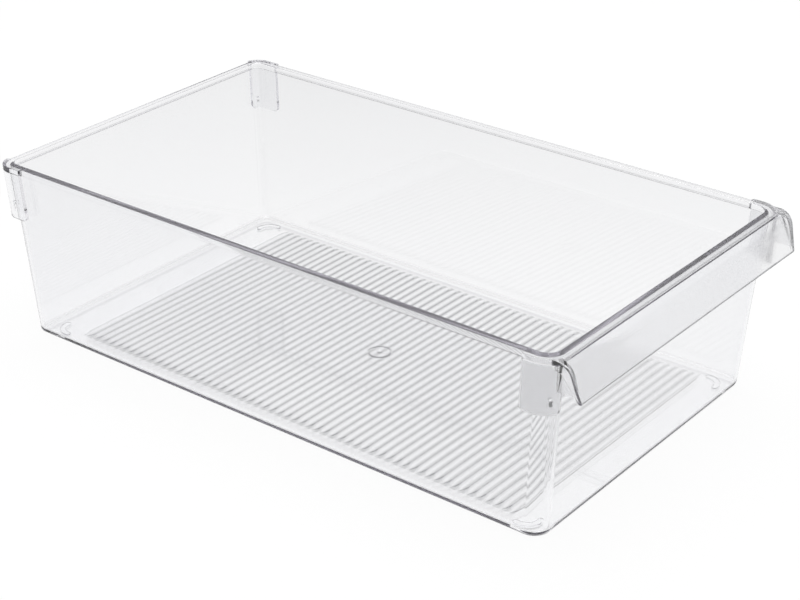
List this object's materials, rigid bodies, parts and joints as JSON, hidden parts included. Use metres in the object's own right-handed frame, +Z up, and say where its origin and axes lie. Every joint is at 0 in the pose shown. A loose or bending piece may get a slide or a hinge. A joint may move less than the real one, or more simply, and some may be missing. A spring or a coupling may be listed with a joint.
{
  "type": "fridge bin",
  "caption": "Clear open-topped storage bin for a fridge shelf, with drafted walls, a ribbed floor, corner skirts and a rolled-over pull handle at one end.",
  "frame": {"origin": "bottom centre of the overall box, midway between the back rim's corner pads and the handle's front, on the plane the feet stand on", "axes": "+X along the bin towards the handle end, +Y towards the long side on the right of a person facing the handle, +Z up"},
  "size_m": [0.3672, 0.207, 0.1014],
  "materials": {
    "clear_plastic": "polished, water clear, with a faint cool tint where it is seen edge on"
  },
  "bodies": {
    "root": {"tub_shell": "clear_plastic", "rim_flange": "clear_plastic", "pull_handle": "clear_plastic", "handle_web_left": "clear_plastic", "handle_web_right": "clear_plastic", "floor_ribs": "clear_plastic", "gate_mark": "clear_plastic", "corner_lug_front_left": "clear_plastic", "corner_lug_front_right": "clear_plastic", "corner_lug_back_left": "clear_plastic", "corner_lug_back_right": "clear_plastic", "foot_front_left": "clear_plastic", "foot_front_right": "clear_plastic", "foot_back_left": "clear_plastic", "foot_back_right": "clear_plastic"}
  },
  "joints": []
}
